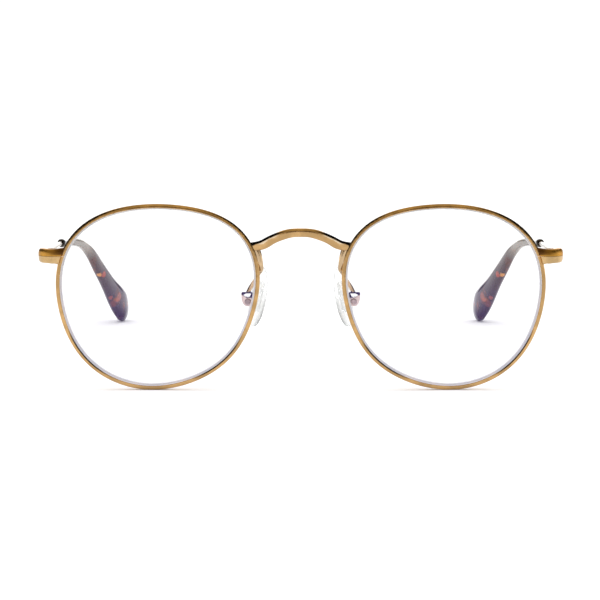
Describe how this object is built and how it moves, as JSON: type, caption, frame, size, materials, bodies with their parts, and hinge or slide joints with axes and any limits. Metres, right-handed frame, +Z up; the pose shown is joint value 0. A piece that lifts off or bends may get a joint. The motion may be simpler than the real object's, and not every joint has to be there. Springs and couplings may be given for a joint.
{
  "type": "eyeglasses frame",
  "caption": "full-rim metal spectacles: wire rims with clear meniscus lenses, arched bridge, silicone nose pads on gooseneck arms, folding wire temples with acetate ear hooks",
  "frame": {"origin": "middle of the bounding box, on the surface that the open spectacles stand on", "axes": "+Z up, +Y from the lenses towards the ear hooks, +X towards the wearer's left"},
  "size_m": [0.1366, 0.1422, 0.0482],
  "materials": {
    "gilt_wire": "polished antique gold plate",
    "gilt_hinge": "satin gold plate",
    "gilt_screw": "turned and gold plated",
    "clear_lens": "clear with a pale blue-violet anti-reflection coating",
    "clear_insert": "clear moulded polycarbonate",
    "clear_silicone": "clear soft silicone",
    "tortoise_acetate": "polished dark tortoise acetate"
  },
  "bodies": {
    "front": {"bridge": "gilt_wire", "rim_right": "gilt_wire", "rim_left": "gilt_wire", "lens_right": "clear_lens", "lens_left": "clear_lens", "endpiece_upper_right": "gilt_wire", "endpiece_upper_left": "gilt_wire", "endpiece_lower_right": "gilt_wire", "endpiece_lower_left": "gilt_wire", "rim_lock_screw_right": "gilt_screw", "rim_lock_screw_left": "gilt_screw", "hinge_front_right": "gilt_hinge", "hinge_front_left": "gilt_hinge", "hinge_screw_right": "gilt_screw", "hinge_screw_left": "gilt_screw", "pad_arm_right": "gilt_wire", "pad_arm_left": "gilt_wire", "pad_box_right": "gilt_hinge", "pad_box_left": "gilt_hinge", "pad_screw_right": "gilt_screw", "pad_screw_left": "gilt_screw"},
    "temple_left": {"temple_arm_left": "gilt_wire", "hinge_temple_left": "gilt_hinge", "temple_tip_left": "tortoise_acetate"},
    "temple_right": {"temple_arm_right": "gilt_wire", "hinge_temple_right": "gilt_hinge", "temple_tip_right": "tortoise_acetate"},
    "pad_left": {"nose_pad_left": "clear_silicone", "pad_core_left": "clear_insert"},
    "pad_right": {"nose_pad_right": "clear_silicone", "pad_core_right": "clear_insert"}
  },
  "joints": [
    {"name": "temple_left_fold", "type": "hinge", "parent": "front", "child": "temple_left", "pos_m": [0.0645, -0.06007, 0.03416], "axis": [0, 0.0689, 0.9976], "range_deg": [0, 86]},
    {"name": "temple_right_fold", "type": "hinge", "parent": "front", "child": "temple_right", "pos_m": [-0.0645, -0.06007, 0.03416], "axis": [0, -0.0689, -0.9976], "range_deg": [0, 78]},
    {"name": "nose_pad_left_rock", "type": "hinge", "parent": "front", "child": "pad_left", "pos_m": [0.0137, -0.06122, 0.02215], "axis": [0, 1, 0], "range_deg": [-10, 10]},
    {"name": "nose_pad_right_rock", "type": "hinge", "parent": "front", "child": "pad_right", "pos_m": [-0.0137, -0.06122, 0.02215], "axis": [0, 1, 0], "range_deg": [-10, 10]}
  ]
}
